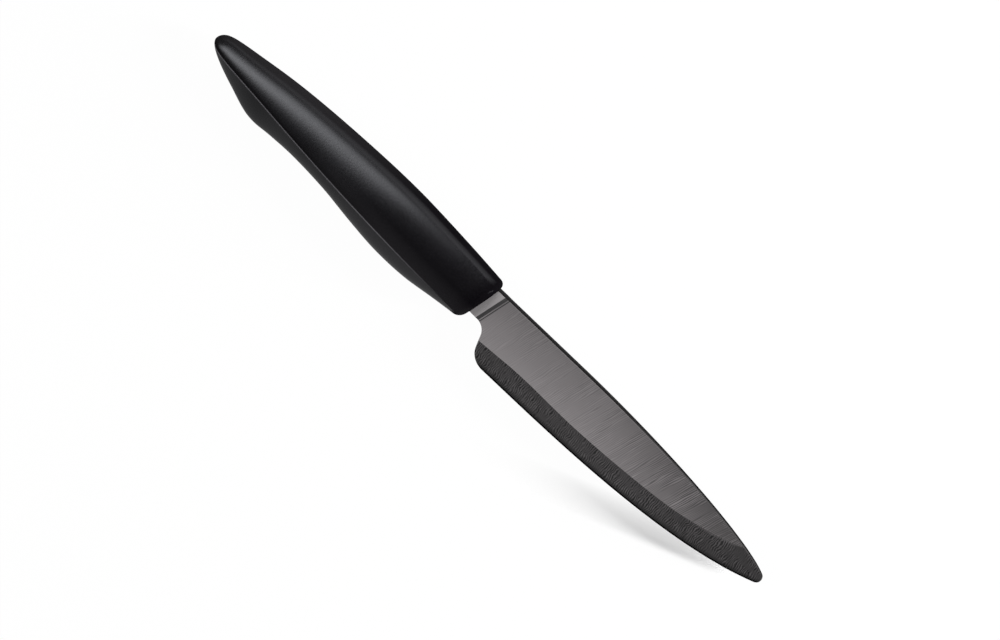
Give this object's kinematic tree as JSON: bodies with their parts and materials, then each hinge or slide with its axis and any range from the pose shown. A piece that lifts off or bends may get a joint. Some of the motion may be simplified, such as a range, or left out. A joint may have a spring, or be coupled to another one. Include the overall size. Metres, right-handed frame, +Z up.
{
  "type": "kitchen utility knife",
  "caption": "Kitchen utility knife: ground ceramic blade with a wide edge grind and round tip, bonded into a soft-touch moulded handle with a keel-shaped underside.",
  "frame": {"origin": "on the surface that the knife lies on, under the middle of its outline", "axes": "+X along the knife from the butt to the tip, +Y from the cutting edge to the spine, +Z up out of the blade's upper face"},
  "size_m": [0.235, 0.0272, 0.0187],
  "materials": {
    "blade_ceramic": "cross-ground satin",
    "bond_resin": "cured resin",
    "core_plastic": "as moulded",
    "grip_elastomer": "fine-grained satin"
  },
  "bodies": {
    "root": {"blade": "blade_ceramic", "tang_bond": "bond_resin", "handle_core": "core_plastic", "soft_grip": "grip_elastomer"}
  },
  "joints": []
}
